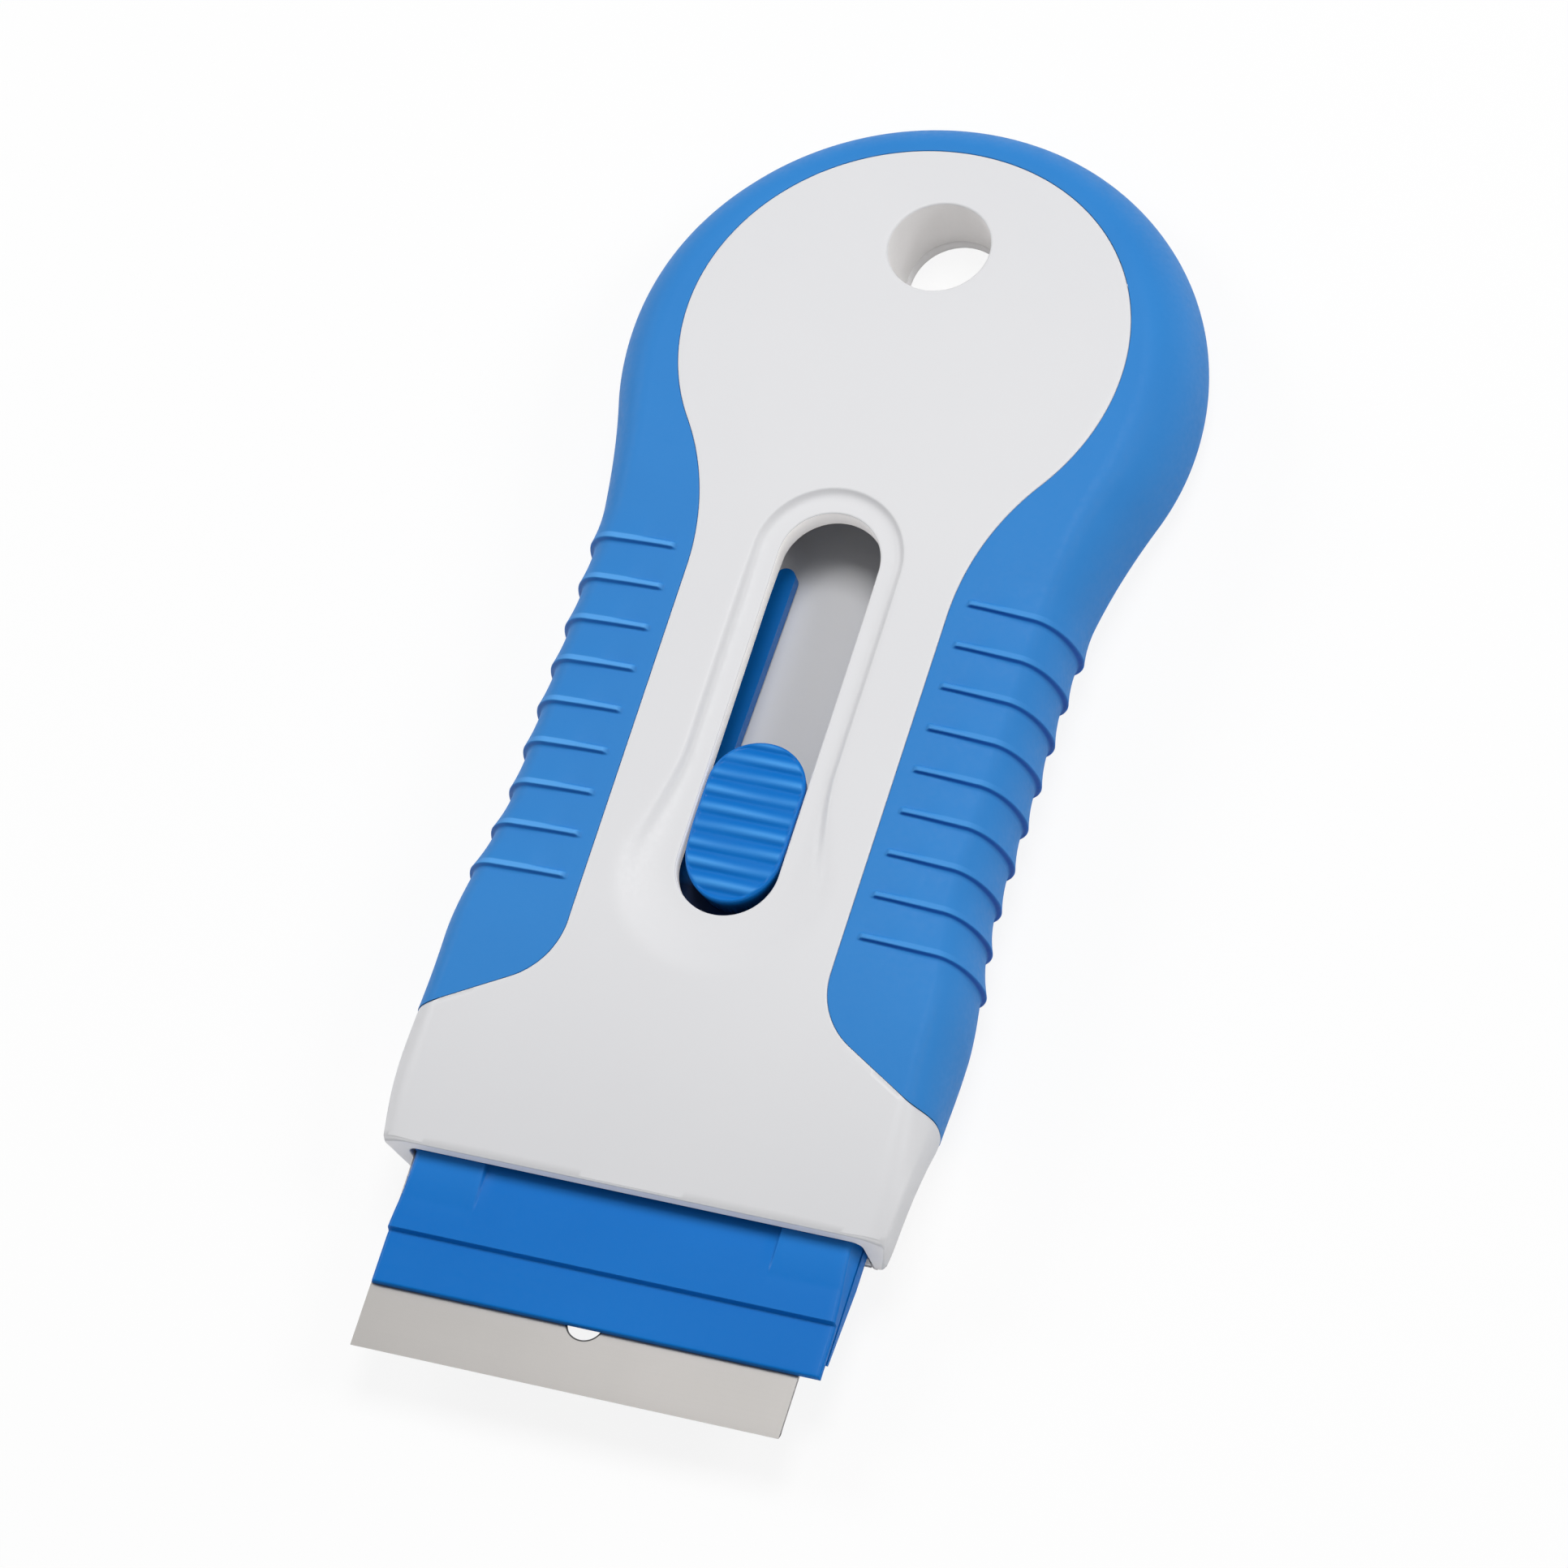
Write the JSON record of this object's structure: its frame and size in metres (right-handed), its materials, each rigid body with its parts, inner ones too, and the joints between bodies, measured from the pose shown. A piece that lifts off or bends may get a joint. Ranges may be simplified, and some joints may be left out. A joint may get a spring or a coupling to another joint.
{
  "type": "glue scraper",
  "caption": "Flat pocket scraper: a plastic body with a soft ribbed grip and hang hole holds a razor blade on a thumb-slide carriage that pushes out and draws back.",
  "frame": {"origin": "middle of the length and width, on the plane of the flat back that the scraper lies on", "axes": "+Z out of the front face with the thumb slot, -Y out of the mouth towards the blade edge, +Y towards the hang hole, +X to the right with the blade towards the viewer"},
  "size_m": [0.0522, 0.1232, 0.012],
  "materials": {
    "white_plastic": "satin moulded plastic with a very fine texture",
    "grip_rubber": "matte soft-touch rubber, ribbed at the sides",
    "blue_plastic": "semi-gloss moulded plastic",
    "blade_steel": "ground razor steel with a polished edge",
    "screw_steel": "plated steel"
  },
  "bodies": {
    "housing": {"front_shell": "white_plastic", "rear_cover": "white_plastic", "soft_grip": "grip_rubber", "rear_screw_1": "screw_steel", "rear_screw_2": "screw_steel", "rear_screw_3": "screw_steel", "rear_screw_4": "screw_steel"},
    "carriage": {"blade_carrier": "blue_plastic", "thumb_button": "blue_plastic", "blade_clamp": "blue_plastic", "blade": "blade_steel"}
  },
  "joints": [
    {"name": "blade_slide", "type": "slide", "parent": "housing", "child": "carriage", "axis": [0, 1, 0], "range_m": [0, 0.0216]}
  ]
}
